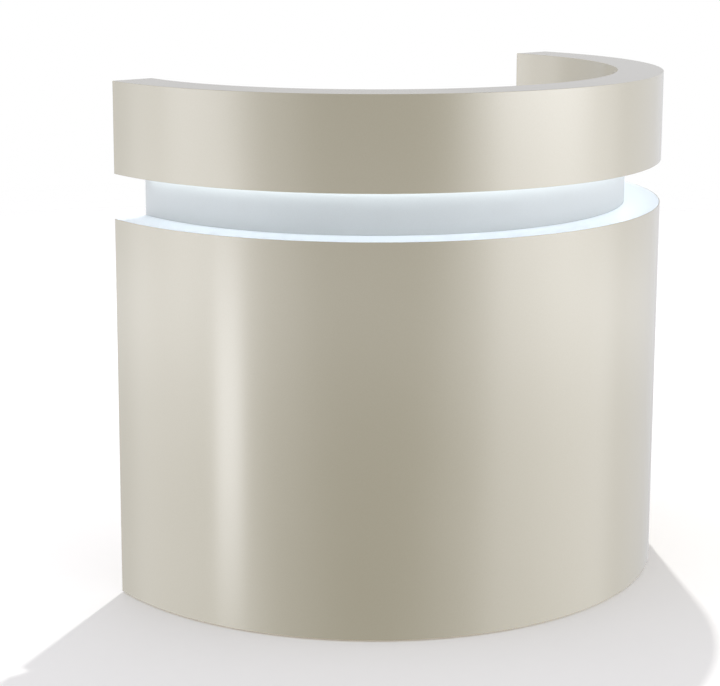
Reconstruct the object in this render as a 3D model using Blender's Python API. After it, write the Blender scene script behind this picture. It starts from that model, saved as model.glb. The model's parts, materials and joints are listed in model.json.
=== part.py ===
"""Half-round checkout counter with a lit recess under its upper ring.

Metres, +Z up. The origin is on the floor under the middle of the counter's box. Customers stand at -Y
and staff at +Y. The curved panels share one centre, which lies END_OFFSET in front of the flat ends.
"""

import math

import bmesh
import bpy
from mathutils import Vector

# Overall shape
OUTER_RADIUS = 0.650
OVERALL_HEIGHT = 1.110
END_OFFSET = 0.075
RING_HEIGHT = 0.194
RING_WIDTH = 0.100
RECESS_HEIGHT = 0.095
RECESS_DEPTH = 0.0785

# Boards
GAP = 0.0003
PANEL = 0.018
SKIN = 0.008
LEDGE_THICKNESS = 0.0035
LEDGE_ARRIS = 0.0015
FLOOR_GAP = 0.003
CARCASS_BOTTOM = 0.012
STUD_DEPTH = 0.040
MIDDLE_RIB_BOTTOM = 0.400
STUD_CLEARANCE = 0.0016
FOOT_HOLE_RADIUS = 0.0046
CUT_PAST = 0.005
ARC_STEP = 3.75

# Light under the ring
GROOVE_WIDTH = 0.018
GROOVE_DEPTH = 0.010
GROOVE_FROM_WALL = 0.0025
CHANNEL_WALL = 0.0012
LEAD_RADIUS = 0.0017
LEAD_ANGLE = 174.375
LEAD_HEIGHT = 0.690
LEAD_TURN = 0.007
LEAD_GROOVE_WIDTH = 0.0052
LEAD_GROOVE_FLOOR = 0.0125
LEAD_HOLE_RADIUS = 0.0027
SOFFIT_HOLE_RADIUS = 0.0025
STRIP_WIDTH = 0.008
STRIP_THICKNESS = 0.001
DIFFUSER_THICKNESS = 0.0015

# Worktop on the staff side
WORKTOP_TOP = 0.740
WORKTOP_THICKNESS = 0.025
WORKTOP_REAR = 0.300
GROMMET_CENTRE = Vector((-0.360, 0.060))
GROMMET_HOLE = 0.030
GROMMET_SLOT_HALF = 0.007
CLEAT_HEIGHT = 0.030
CLEAT_SPAN = (4, 44)

# Hanging pedestal with one drawer over a cupboard
PEDESTAL_LEFT = 0.090
PEDESTAL_RIGHT = 0.430
PEDESTAL_INNER_END = -0.020
PEDESTAL_FRONT = 0.280
PEDESTAL_BOTTOM = 0.100
PEDESTAL_BOARD = 0.016
PEDESTAL_BACK = 0.008
DIVIDER_BOTTOM = 0.545
SHELF_BOTTOM = 0.320
FRONT_THICKNESS = 0.018
FRONT_GAP = 0.0026
SHELF_SETBACK = 0.018
DRAWER_BOARD = 0.012
DRAWER_LOW = 0.575
DRAWER_HIGH = 0.675
DRAWER_BACK = 0.003
DRAWER_BOTTOM_LIFT = 0.004
DRAWER_BOTTOM_THICKNESS = 0.005
RUNNER_SPACE = 0.013
RUNNER_LOW = 0.612
RUNNER_HIGH = 0.648
RUNNER_LENGTH = 0.275
RUNNER_DEPTH = 0.006
RUNNER_WALL = 0.0015
HANDLE_LENGTH = 0.128
HANDLE_REACH = 0.026
HANDLE_BAR = 0.006
HANDLE_WIDTH = 0.010
LOCK_HEIGHT = 0.690
LOCK_RADIUS = 0.009
LOCK_PROUD = 0.0015
STRIKE_HALF = 0.016
STRIKE_PLATE = 0.0015
HINGE_AXIS = Vector((0.4345, 0.2800))
HINGE_RADIUS = 0.004
HINGE_LEAF = 0.0012
HINGE_BORE_RADIUS = 0.0021
HINGE_PIN_RADIUS = 0.0016
HINGE_LOW = 0.120
HINGE_HIGH = 0.540

# Driver box and its rocker switch
DRIVER_LOW = Vector((-0.360, 0.200, 0.6797))
DRIVER_HIGH = Vector((-0.200, 0.270, 0.7147))
SWITCH_PIVOT = Vector((-0.300, 0.267, 0.697))
SWITCH_TILT = 7.0
INLET_CENTRE = Vector((-0.200, 0.235, 0.697))

FOOT_ANGLES = (2.0, 60.0, 120.0, 178.0)
STUD_ANGLES = (30.0, 67.5, 112.5, 150.0)
WEB_ANGLES = (45.0, 90.0, 135.0)

REAR = (OUTER_RADIUS + END_OFFSET) / 2
CENTRE = Vector((0.0, REAR - END_OFFSET, 0.0))
INNER_RADIUS = OUTER_RADIUS - RING_WIDTH
WALL_FACE = OUTER_RADIUS - RECESS_DEPTH
RING_BOTTOM = OVERALL_HEIGHT - RING_HEIGHT
BODY_TOP = RING_BOTTOM - RECESS_HEIGHT
CAVITY_INNER = INNER_RADIUS + PANEL + GAP
CAVITY_OUTER = OUTER_RADIUS - SKIN - GAP
END_INSIDE = END_OFFSET - PANEL


def linear(value):
    return value / 12.92 if value <= 0.04045 else ((value + 0.055) / 1.055) ** 2.4


def finish(name, colour, roughness, metallic=0.0):
    made = bpy.data.materials.new(name)
    made.use_nodes = True
    shader = made.node_tree.nodes["Principled BSDF"]
    shader.inputs["Base Color"].default_value = [linear(c / 255) for c in colour] + [1.0]
    shader.inputs["Roughness"].default_value = roughness
    shader.inputs["Metallic"].default_value = metallic
    made.diffuse_color = [linear(c / 255) for c in colour] + [1.0]
    return made


def add_object(name, mesh, look, location=(0, 0, 0)):
    made = bpy.data.objects.new(name, mesh)
    made.location = location
    if look and not mesh.materials:
        mesh.materials.append(look)
    bpy.context.scene.collection.objects.link(made)
    return made


def mesh_of(name, shape, smooth=False):
    """A mesh from a bmesh, with its faces pointing out."""
    bmesh.ops.recalc_face_normals(shape, faces=shape.faces)
    mesh = bpy.data.meshes.new(name)
    shape.to_mesh(mesh)
    shape.free()
    if smooth:
        mesh.shade_smooth()
        mesh.set_sharp_from_angle(angle=math.radians(30))
    return mesh


def box(name, low, high, look):
    low, high = Vector(low), Vector(high)
    shape = bmesh.new()
    bmesh.ops.create_cube(shape, size=1.0)
    bmesh.ops.scale(shape, vec=high - low, verts=shape.verts)
    return add_object(name, mesh_of(name, shape), look, (low + high) / 2)


def prism_mesh(name, outline, low, high, smooth=False):
    """An outline in plan, extruded from one height to another."""
    shape = bmesh.new()
    floor = shape.faces.new([shape.verts.new((x, y, low)) for x, y in outline])
    raised = bmesh.ops.extrude_face_region(shape, geom=[floor])
    verts = [item for item in raised["geom"] if isinstance(item, bmesh.types.BMVert)]
    bmesh.ops.translate(shape, vec=(0, 0, high - low), verts=verts)
    return mesh_of(name, shape, smooth)


def cylinder(name, radius, low, high, look, segments=24):
    """A round bar between two points."""
    low, high = Vector(low), Vector(high)
    shape = bmesh.new()
    bmesh.ops.create_cone(
        shape,
        cap_ends=True,
        segments=segments,
        radius1=radius,
        radius2=radius,
        depth=(high - low).length,
    )
    made = add_object(name, mesh_of(name, shape, smooth=True), look, (low + high) / 2)
    made.rotation_mode = "QUATERNION"
    made.rotation_quaternion = (high - low).to_track_quat("Z", "Y")
    return made


def turned_mesh(name, profile, segments=32):
    """A closed profile of (radius, height) turned once about Z. Points at radius 0 close its poles."""
    shape = bmesh.new()
    verts = [shape.verts.new((r, 0, z)) for r, z in profile]
    edges = [shape.edges.new((verts[i - 1], verts[i])) for i in range(len(verts))]
    on_axis = [edge for edge in edges if max(vert.co.x for vert in edge.verts) < GAP]
    for edge in on_axis:
        edges.remove(edge)
        shape.edges.remove(edge)
    bmesh.ops.spin(
        shape,
        geom=edges,
        cent=(0, 0, 0),
        axis=(0, 0, 1),
        angle=math.tau,
        steps=segments,
        use_merge=True,
    )
    bmesh.ops.remove_doubles(shape, verts=shape.verts, dist=0.00001)
    return mesh_of(name, shape, smooth=True)


def polar(radius, degrees, height=0.0):
    """A point on the counter's arc: 0 degrees is towards +X, 90 the middle of the customer side."""
    angle = math.radians(degrees)
    return CENTRE + Vector((radius * math.cos(angle), -radius * math.sin(angle), height))


def end_steps(radius, back):
    """How many half steps of the common grid fit between the side of the arc and its flat end."""
    lead = math.degrees(math.asin(back / radius))
    return max(0, math.floor((lead - ARC_STEP / 8) / (ARC_STEP / 2)))


def arc_line(radius, back, extra):
    """Plan points at one radius. Both ends lie on the plane that is back behind the centre."""
    lead = math.degrees(math.asin(back / radius))
    steps = round(180 / ARC_STEP)
    past = [ARC_STEP / 2 * i for i in range(1, extra + 1)] + [lead]
    angles = [-angle for angle in reversed(past)]
    angles += [ARC_STEP * i for i in range(steps + 1)]
    angles += [180 + angle for angle in past]
    return [polar(radius, angle) for angle in angles]


def swept(name, lines, heights, look):
    """A closed section carried along plan lines, one line and one height for each of its corners."""
    shape = bmesh.new()
    rings = []
    for place in zip(*lines):
        rings.append([shape.verts.new((p.x, p.y, z)) for p, z in zip(place, heights)])
    corners = range(len(heights))
    for near, far in zip(rings, rings[1:]):
        for i in corners:
            shape.faces.new((near[i - 1], near[i], far[i], far[i - 1]))
    shape.faces.new(rings[0])
    shape.faces.new(rings[-1])
    return add_object(name, mesh_of(name, shape, smooth=True), look)


def arc_piece(name, profile, look, back=END_OFFSET):
    """A section of (radius, height) carried round the counter and cut flat at both ends."""
    extra = end_steps(max(radius for radius, _ in profile), back)
    lines = [arc_line(radius, back, extra) for radius, _ in profile]
    return swept(name, lines, [height for _, height in profile], look)


def arc_board(name, inner, outer, low, high, look, back=END_OFFSET):
    return arc_piece(name, [(inner, low), (outer, low), (outer, high), (inner, high)], look, back)


def radial_box(name, inner, outer, width, low, high, degrees, look):
    """A box that stands along a radius of the arc."""
    half = ((outer - inner) / 2, width / 2, (high - low) / 2)
    made = box(name, [-c for c in half], half, look)
    made.location = polar((inner + outer) / 2, degrees, (low + high) / 2)
    made.rotation_euler.z = -math.radians(degrees)
    return made


def boolean(target, other, operation):
    change = target.modifiers.new(operation.lower(), "BOOLEAN")
    change.operation = operation
    change.solver = "EXACT"
    change.object = other
    other.hide_render = True
    other.display_type = "WIRE"


def cut(target, *cutters):
    for cutter in cutters:
        boolean(target, cutter, "DIFFERENCE")


def join(target, *others):
    for other in others:
        boolean(target, other, "UNION")


def move_with(name, place, pieces):
    """An empty on a joint's axis that carries the pieces turning or sliding there."""
    axis = bpy.data.objects.new(name, None)
    axis.empty_display_size = 0.03
    axis.location = place
    bpy.context.scene.collection.objects.link(axis)
    for piece in pieces:
        piece.parent = axis
        piece.location = piece.location - axis.location
    return axis


def clear_scene():
    for old in list(bpy.data.objects):
        bpy.data.objects.remove(old, do_unlink=True)


def finishes():
    return {
        "lacquer": finish("champagne_lacquer", (184, 178, 162), 0.18, 0.25),
        "white": finish("white_lacquer", (236, 240, 241), 0.35),
        "liner": finish("liner_grey", (200, 204, 205), 0.4),
        "laminate": finish("pale_laminate", (222, 218, 208), 0.45),
        "board": finish("raw_board", (176, 146, 108), 0.75),
        "timber": finish("softwood", (203, 172, 122), 0.7),
        "aluminium": finish("anodised_aluminium", (190, 192, 194), 0.35, 1.0),
        "steel": finish("zinc_plated_steel", (172, 175, 178), 0.3, 1.0),
        "diffuser": finish("opal_diffuser", (245, 248, 250), 0.4),
        "strip": finish("led_strip", (240, 236, 214), 0.5),
        "black": finish("black_plastic", (34, 35, 37), 0.45),
        "grey": finish("grey_plastic", (120, 122, 124), 0.45),
        "drawer": finish("drawer_board", (228, 226, 220), 0.5),
    }


def lower_wall(looks):
    """The curved box below the recess: two skins on ribs and studs, standing on levelling feet."""
    ledge_low = BODY_TOP - LEDGE_THICKNESS
    rim = OUTER_RADIUS - LEDGE_ARRIS
    front = OUTER_RADIUS - SKIN
    rebate = ledge_low - GAP
    arc_piece(
        "front_skin",
        [
            (front, FLOOR_GAP),
            (OUTER_RADIUS, FLOOR_GAP),
            (OUTER_RADIUS, BODY_TOP),
            (rim, BODY_TOP),
            (rim, rebate),
            (front, rebate),
        ],
        looks["lacquer"],
    )
    arc_board("ledge_cap", CAVITY_INNER, rim - GAP, ledge_low, BODY_TOP, looks["white"])

    inner = arc_board(
        "inner_skin",
        INNER_RADIUS,
        INNER_RADIUS + PANEL,
        CARCASS_BOTTOM,
        RING_BOTTOM - GAP,
        looks["laminate"],
    )
    groove = INNER_RADIUS + LEAD_GROOVE_FLOOR
    pocket = groove - LEAD_TURN
    past = INNER_RADIUS + PANEL + 0.012
    width = LEAD_GROOVE_WIDTH
    groove_high = RING_BOTTOM + 0.014
    pocket_low = LEAD_HEIGHT - 0.0028
    pocket_high = LEAD_HEIGHT + 0.013
    hole_start = polar(INNER_RADIUS - 0.010, LEAD_ANGLE, LEAD_HEIGHT)
    hole_end = polar(groove - 0.002, LEAD_ANGLE, LEAD_HEIGHT)
    cut(
        inner,
        radial_box("lead_groove", groove, past, width, LEAD_HEIGHT + 0.004, groove_high, LEAD_ANGLE, None),
        radial_box("lead_pocket", pocket, past, width, pocket_low, pocket_high, LEAD_ANGLE, None),
        cylinder("lead_hole", LEAD_HOLE_RADIUS, hole_start, hole_end, None, 16),
    )

    inside = END_INSIDE - GAP
    base = arc_board(
        "base_rib",
        CAVITY_INNER,
        CAVITY_OUTER,
        CARCASS_BOTTOM,
        CARCASS_BOTTOM + PANEL,
        looks["board"],
        inside,
    )
    top_rib_low = ledge_low - GAP - PANEL
    arc_board(
        "top_rib",
        CAVITY_INNER,
        CAVITY_OUTER,
        top_rib_low,
        ledge_low - GAP,
        looks["board"],
        inside,
    )
    stud_outer = CAVITY_INNER + STUD_DEPTH
    arc_board(
        "middle_rib",
        stud_outer + STUD_CLEARANCE,
        CAVITY_OUTER,
        MIDDLE_RIB_BOTTOM,
        MIDDLE_RIB_BOTTOM + PANEL,
        looks["board"],
        inside,
    )
    for i, degrees in enumerate(STUD_ANGLES, 1):
        radial_box(
            f"stud_{i}",
            CAVITY_INNER + GAP,
            stud_outer,
            PANEL,
            CARCASS_BOTTOM + PANEL + GAP,
            top_rib_low - GAP,
            degrees,
            looks["timber"],
        )

    for name, side in (("right_end_cap", 1), ("left_end_cap", -1)):
        end_cap(name, side, CAVITY_INNER, FLOOR_GAP, rebate, looks["lacquer"])

    foot = turned_mesh(
        "levelling_foot",
        [
            (0.0, 0.0),
            (0.019, 0.0),
            (0.020, 0.0012),
            (0.020, 0.005),
            (0.0075, 0.0075),
            (0.0075, CARCASS_BOTTOM - GAP),
            (0.004, CARCASS_BOTTOM - GAP),
            (0.004, 0.026),
            (0.0, 0.026),
        ],
        24,
    )
    for i, degrees in enumerate(FOOT_ANGLES, 1):
        middle = (CAVITY_INNER + CAVITY_OUTER) / 2
        add_object(f"foot_{i}", foot, looks["grey"], polar(middle, degrees))
        hole_low = polar(middle, degrees, CARCASS_BOTTOM - CUT_PAST)
        hole_high = polar(middle, degrees, CARCASS_BOTTOM + PANEL + CUT_PAST)
        cut(base, cylinder(f"foot_hole_{i}", FOOT_HOLE_RADIUS, hole_low, hole_high, None, 16))


def end_cap(name, side, inner, low, high, look):
    """The board that closes one flat end, between an inner and the outer skin."""
    outline = []
    for radius, back in (
        (inner + GAP, END_INSIDE),
        (CAVITY_OUTER - GAP, END_INSIDE),
        (CAVITY_OUTER - GAP, END_OFFSET),
        (inner + GAP, END_OFFSET),
    ):
        reach = math.sqrt(radius**2 - back**2)
        outline.append((side * reach, CENTRE.y + back))
    add_object(name, prism_mesh(name, outline, low, high), look)


def upper_ring(looks):
    """The lacquered box section over the recess. Its skins are mitred to the top board."""
    outer = OUTER_RADIUS
    inner = INNER_RADIUS
    mitre = OVERALL_HEIGHT - SKIN
    arc_piece(
        "ring_outer_skin",
        [(outer - SKIN, RING_BOTTOM), (outer, RING_BOTTOM), (outer, OVERALL_HEIGHT), (outer - SKIN, mitre)],
        looks["lacquer"],
    )
    arc_piece(
        "ring_inner_skin",
        [(inner, RING_BOTTOM), (inner + SKIN, RING_BOTTOM), (inner + SKIN, mitre), (inner, OVERALL_HEIGHT)],
        looks["lacquer"],
    )
    slip = GAP * math.sqrt(2)
    inner_edge = inner + SKIN + GAP
    board_low = OVERALL_HEIGHT - PANEL
    arc_piece(
        "ring_top",
        [
            (inner_edge, board_low),
            (CAVITY_OUTER, board_low),
            (CAVITY_OUTER, mitre + slip - GAP),
            (outer - slip, OVERALL_HEIGHT),
            (inner + slip, OVERALL_HEIGHT),
            (inner_edge, mitre + slip - GAP),
        ],
        looks["lacquer"],
    )

    groove = WALL_FACE + GROOVE_FROM_WALL
    roof = RING_BOTTOM + GROOVE_DEPTH
    soffit_top = RING_BOTTOM + PANEL
    soffit = arc_piece(
        "ring_soffit",
        [
            (inner_edge, RING_BOTTOM),
            (groove, RING_BOTTOM),
            (groove, roof),
            (groove + GROOVE_WIDTH, roof),
            (groove + GROOVE_WIDTH, RING_BOTTOM),
            (CAVITY_OUTER, RING_BOTTOM),
            (CAVITY_OUTER, soffit_top),
            (inner_edge, soffit_top),
        ],
        looks["white"],
        END_INSIDE - GAP,
    )
    for i, radius in enumerate(lead_radii(), 1):
        low = polar(radius, LEAD_ANGLE, RING_BOTTOM - CUT_PAST)
        high = polar(radius, LEAD_ANGLE, soffit_top + CUT_PAST)
        cut(soffit, cylinder(f"soffit_hole_{i}", SOFFIT_HOLE_RADIUS, low, high, None, 16))

    for i, degrees in enumerate(WEB_ANGLES, 1):
        radial_box(
            f"ring_web_{i}",
            inner_edge + GAP,
            CAVITY_OUTER - 3 * GAP,
            PANEL,
            soffit_top + GAP,
            board_low - GAP,
            degrees,
            looks["board"],
        )
    for name, side in (("ring_right_cap", 1), ("ring_left_cap", -1)):
        end_cap(name, side, inner_edge, RING_BOTTOM, board_low - GAP, looks["lacquer"])

    arc_board(
        "recess_liner",
        CAVITY_INNER,
        WALL_FACE,
        BODY_TOP + GAP,
        RING_BOTTOM - GAP,
        looks["liner"],
    )


def lead_radii():
    """The radii at which the lead rises behind the liner and drops into the light channel."""
    rising = INNER_RADIUS + PANEL - LEAD_RADIUS - 0.001
    dropping = WALL_FACE + GROOVE_FROM_WALL + GROOVE_WIDTH / 2
    return rising, dropping


def recess_light(looks):
    """An aluminium channel let into the soffit, with its strip, diffuser, lead and driver box."""
    low = RING_BOTTOM + 0.0005
    high = RING_BOTTOM + GROOVE_DEPTH - GAP
    inner = WALL_FACE + GROOVE_FROM_WALL + GAP
    outer = inner + GROOVE_WIDTH - 2 * GAP
    wall = CHANNEL_WALL
    back = END_INSIDE - 0.002
    arc_piece(
        "led_channel",
        [
            (inner, low),
            (inner, high),
            (outer, high),
            (outer, low),
            (outer - wall, low),
            (outer - wall, high - wall),
            (inner + wall, high - wall),
            (inner + wall, low),
        ],
        looks["aluminium"],
        back,
    )
    strip_high = high - wall - GAP
    middle = (inner + outer) / 2
    half = STRIP_WIDTH / 2
    strip_low = strip_high - STRIP_THICKNESS
    arc_board("led_strip", middle - half, middle + half, strip_low, strip_high, looks["strip"], back)
    arc_board(
        "led_diffuser",
        inner + wall + GAP,
        outer - wall - GAP,
        low,
        low + DIFFUSER_THICKNESS,
        looks["diffuser"],
        back,
    )

    rising, dropping = lead_radii()
    bend = (dropping - rising) / 2
    over = RING_BOTTOM + PANEL + 0.002
    turn = LEAD_TURN
    start = Vector((DRIVER_LOW.x - GAP, INLET_CENTRE.y, LEAD_HEIGHT))
    entry = polar(INNER_RADIUS - 0.004, LEAD_ANGLE, LEAD_HEIGHT)
    path = [start.lerp(entry, i / 12) for i in range(13)]
    for i in range(1, 7):
        swing = math.radians(15 * i)
        out = rising - turn + turn * math.sin(swing)
        path.append(polar(out, LEAD_ANGLE, LEAD_HEIGHT + turn * (1 - math.cos(swing))))
    rise_from = LEAD_HEIGHT + turn
    path += [polar(rising, LEAD_ANGLE, rise_from + (over - rise_from) * i / 20) for i in range(1, 21)]
    for i in range(1, 9):
        swing = math.radians(22.5 * i)
        out = rising + bend * (1 - math.cos(swing))
        path.append(polar(out, LEAD_ANGLE, over + bend * math.sin(swing)))
    path.append(polar(dropping, LEAD_ANGLE, high + GAP))
    lead = bpy.data.curves.new("led_lead", "CURVE")
    lead.dimensions = "3D"
    lead.bevel_depth = LEAD_RADIUS
    lead.bevel_resolution = 2
    lead.use_fill_caps = True
    line = lead.splines.new("POLY")
    line.points.add(len(path) - 1)
    for point, place in zip(line.points, path):
        point.co = (*place, 1.0)
    lead.materials.append(looks["white"])
    add_object("led_lead", lead, None)


def driver_box(looks):
    """The light's driver box under the worktop, with its mains inlet and its rocker switch."""
    case = box("driver_case", DRIVER_LOW, DRIVER_HIGH, looks["black"])
    depth = Vector((0.011, 0.010, 0.0085))
    switch_low = SWITCH_PIVOT - depth
    switch_high = SWITCH_PIVOT + depth
    inlet_half = Vector((0.0140, 0.0140, 0.0100))
    cut(
        case,
        box("switch_pocket", switch_low, switch_high, None),
        box("inlet_pocket", INLET_CENTRE - inlet_half, INLET_CENTRE + inlet_half, None),
    )
    rocker_outline = [
        (-0.0030, -0.0040),
        (-0.0010, -0.0072),
        (0.0045, -0.0072),
        (0.0030, 0.0),
        (0.0045, 0.0072),
        (-0.0010, 0.0072),
        (-0.0030, 0.0040),
    ]
    rocker = prism_mesh("light_switch", rocker_outline, -0.0105, 0.0105)
    for vert in rocker.vertices:
        vert.co = (vert.co.z, vert.co.x, vert.co.y)
    switch = add_object("light_switch", rocker, looks["grey"], SWITCH_PIVOT)
    switch.rotation_euler.x = math.radians(SWITCH_TILT)

    body = Vector((0.0135, 0.0137, 0.0097))
    inlet_low = INLET_CENTRE - body
    inlet_high = INLET_CENTRE + Vector((0.0010, body.y, body.z))
    inlet = box("power_inlet", inlet_low, inlet_high, looks["black"])
    flange_low = INLET_CENTRE + Vector((GAP, -0.0180, -0.0125))
    flange_high = INLET_CENTRE + Vector((0.0022, 0.0180, 0.0125))
    join(inlet, box("inlet_flange", flange_low, flange_high, None))
    mouth_low = INLET_CENTRE + Vector((-0.0105, -0.0110, -0.0070))
    mouth_high = INLET_CENTRE + Vector((0.0100, 0.0110, 0.0070))
    cut(inlet, box("inlet_mouth", mouth_low, mouth_high, None))


def worktop(looks):
    """The staff worktop, on a curved cleat, with a cable grommet."""
    low = WORKTOP_TOP - WORKTOP_THICKNESS
    radius = INNER_RADIUS - GAP
    outline = [(p.x, p.y) for p in arc_line(radius, WORKTOP_REAR - CENTRE.y, 0)]
    top = add_object("worktop", prism_mesh("worktop", outline, low, WORKTOP_TOP, True), looks["laminate"])
    centre = GROMMET_CENTRE.to_3d()
    hole_low = centre + Vector((0, 0, low - 0.01))
    hole_high = centre + Vector((0, 0, WORKTOP_TOP + 0.01))
    cut(top, cylinder("grommet_hole", GROMMET_HOLE, hole_low, hole_high, None, 32))

    span = range(CLEAT_SPAN[0], CLEAT_SPAN[1] + 1)
    inside = [polar(radius - PANEL, ARC_STEP * i) for i in span]
    outside = [polar(radius, ARC_STEP * i) for i in span]
    cleat_high = low - GAP
    cleat_low = cleat_high - CLEAT_HEIGHT
    swept(
        "worktop_cleat",
        [inside, outside, outside, inside],
        [cleat_low, cleat_low, cleat_high, cleat_high],
        looks["timber"],
    )

    over = WORKTOP_TOP + GAP
    bore = GROMMET_HOLE - 0.0033
    seat = WORKTOP_TOP - 0.005
    sleeve = turned_mesh(
        "grommet_sleeve",
        [
            (GROMMET_HOLE - 0.0006, over),
            (0.037, over),
            (0.036, over + 0.0020),
            (bore, over + 0.0020),
            (bore, seat),
            (bore - 0.0025, seat),
            (bore - 0.0025, seat - 0.0015),
            (bore, seat - 0.0015),
            (bore, low + 0.002),
            (GROMMET_HOLE - 0.0006, low + 0.002),
        ],
    )
    add_object("grommet_sleeve", sleeve, looks["grey"], centre)
    cap_low = centre + Vector((0, 0, seat + GAP))
    cap_high = centre + Vector((0, 0, over + 0.0016))
    cap = cylinder("grommet_cap", bore - 0.0005, cap_low, cap_high, looks["grey"], 32)
    slot_low = centre + Vector((-GROMMET_SLOT_HALF, -0.040, seat - 0.01))
    slot_high = centre + Vector((GROMMET_SLOT_HALF, -0.010, WORKTOP_TOP + 0.02))
    cut(cap, box("cap_slot", slot_low, slot_high, None))
    move_with("grommet_axis", centre + Vector((0, 0, WORKTOP_TOP)), [cap])


def pedestal(looks):
    """The hanging carcass under the worktop's right side."""
    top = WORKTOP_TOP - WORKTOP_THICKNESS - GAP
    front = PEDESTAL_FRONT - GAP
    board = PEDESTAL_BOARD
    left_in = PEDESTAL_LEFT + board
    right_in = PEDESTAL_RIGHT - board
    inner_end = PEDESTAL_INNER_END
    look = looks["laminate"]
    box(
        "pedestal_left_side",
        (PEDESTAL_LEFT, inner_end, PEDESTAL_BOTTOM),
        (left_in, front, top),
        look,
    )
    box(
        "pedestal_right_side",
        (right_in, inner_end, PEDESTAL_BOTTOM),
        (PEDESTAL_RIGHT, front, top),
        look,
    )
    x_low, x_high = left_in + GAP, right_in - GAP
    shelf_end = inner_end + PEDESTAL_BACK + GAP
    back_y = inner_end + PEDESTAL_BACK
    box("pedestal_back", (x_low, inner_end, PEDESTAL_BOTTOM), (x_high, back_y, top), look)
    for name, low, high_y in (
        ("pedestal_bottom", PEDESTAL_BOTTOM, front),
        ("pedestal_shelf", SHELF_BOTTOM, front - SHELF_SETBACK),
        ("pedestal_divider", DIVIDER_BOTTOM, front),
    ):
        box(name, (x_low, shelf_end, low), (x_high, high_y, low + board), look)


def bow_handle(name, centre, turned, look):
    """A flat-bar bow handle. Its feet stand on the front, and a hand passes behind its grip."""
    reach, bar, half = HANDLE_REACH, HANDLE_BAR, HANDLE_LENGTH / 2
    outline = [
        (-half, 0.0),
        (-half + bar, 0.0),
        (-half + bar, reach - bar),
        (half - bar, reach - bar),
        (half - bar, 0.0),
        (half, 0.0),
        (half, reach),
        (-half, reach),
    ]
    mesh = prism_mesh(name, outline, -HANDLE_WIDTH / 2, HANDLE_WIDTH / 2)
    made = add_object(name, mesh, look, centre)
    made.rotation_euler.y = math.radians(90 if turned else 0)
    return made


def channel_outline(x_web, towards, low, high, depth, wall):
    """A channel section in X and Z that opens towards +X or -X."""
    lip = x_web + towards * depth
    web = x_web + towards * wall
    return [
        (x_web, low),
        (lip, low),
        (lip, low + wall),
        (web, low + wall),
        (web, high - wall),
        (lip, high - wall),
        (lip, high),
        (x_web, high),
    ]


def drawer(looks):
    """The drawer, its runners, its handle and its cam lock."""
    front_y = PEDESTAL_FRONT + GAP
    left = PEDESTAL_LEFT + PEDESTAL_BOARD + RUNNER_SPACE
    right = PEDESTAL_RIGHT - PEDESTAL_BOARD - RUNNER_SPACE
    middle = (PEDESTAL_LEFT + PEDESTAL_RIGHT) / 2
    box_low, box_high = DRAWER_LOW, DRAWER_HIGH
    bottom_low = box_low + DRAWER_BOTTOM_LIFT
    back_y = DRAWER_BACK
    side_y = front_y - GAP
    front_low = DIVIDER_BOTTOM + PEDESTAL_BOARD + 0.0013
    front_high = WORKTOP_TOP - WORKTOP_THICKNESS - 0.0033
    front = box(
        "drawer_front",
        (PEDESTAL_LEFT + GAP, front_y, front_low),
        (PEDESTAL_RIGHT - GAP, front_y + FRONT_THICKNESS, front_high),
        looks["laminate"],
    )
    lock_place = Vector((middle, front_y, LOCK_HEIGHT))
    through = Vector((0, 0.03, 0))
    cut(
        front,
        cylinder("lock_hole", LOCK_RADIUS + 0.0005, lock_place - through, lock_place + through, None, 24),
    )
    board = DRAWER_BOARD
    look = looks["drawer"]
    pieces = [
        front,
        box("drawer_left_side", (left, back_y, box_low), (left + board, side_y, box_high), look),
        box("drawer_right_side", (right - board, back_y, box_low), (right, side_y, box_high), look),
        box(
            "drawer_back",
            (left + board + GAP, back_y, box_low),
            (right - board - GAP, back_y + board, box_high),
            look,
        ),
        box(
            "drawer_bottom",
            (left + board + GAP, back_y + board + GAP, bottom_low),
            (right - board - GAP, side_y, bottom_low + DRAWER_BOTTOM_THICKNESS),
            look,
        ),
    ]
    grip = Vector((middle, front_y + FRONT_THICKNESS + GAP, (front_low + LOCK_HEIGHT) / 2 - 0.006))
    pieces.append(bow_handle("drawer_handle", grip, False, looks["steel"]))

    wall = RUNNER_WALL
    for side, web_x, towards, slide_x in (
        ("left", PEDESTAL_LEFT + PEDESTAL_BOARD + GAP, 1, left - GAP),
        ("right", PEDESTAL_RIGHT - PEDESTAL_BOARD - GAP, -1, right + GAP),
    ):
        outline = channel_outline(web_x, towards, RUNNER_LOW, RUNNER_HIGH, RUNNER_DEPTH, wall)
        mesh = prism_mesh(f"runner_{side}", outline, 0.0, RUNNER_LENGTH)
        for vert in mesh.vertices:
            vert.co = (vert.co.x, vert.co.z, vert.co.y)
        # Swapping two axes turns the faces inside out.
        mesh.flip_normals()
        add_object(f"runner_{side}", mesh, looks["steel"])
        slide_web = web_x + towards * (wall + 0.0006)
        low_x, high_x = sorted((slide_web, slide_x))
        pieces.append(
            box(
                f"slide_{side}",
                (low_x, 0.004, RUNNER_LOW + 2 * wall),
                (high_x, RUNNER_LENGTH, RUNNER_HIGH - 2 * wall),
                looks["steel"],
            )
        )
    drawer_axis = move_with("drawer_axis", (middle, front_y, (box_low + box_high) / 2), pieces)
    cam_lock(looks, lock_place, drawer_axis)


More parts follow.
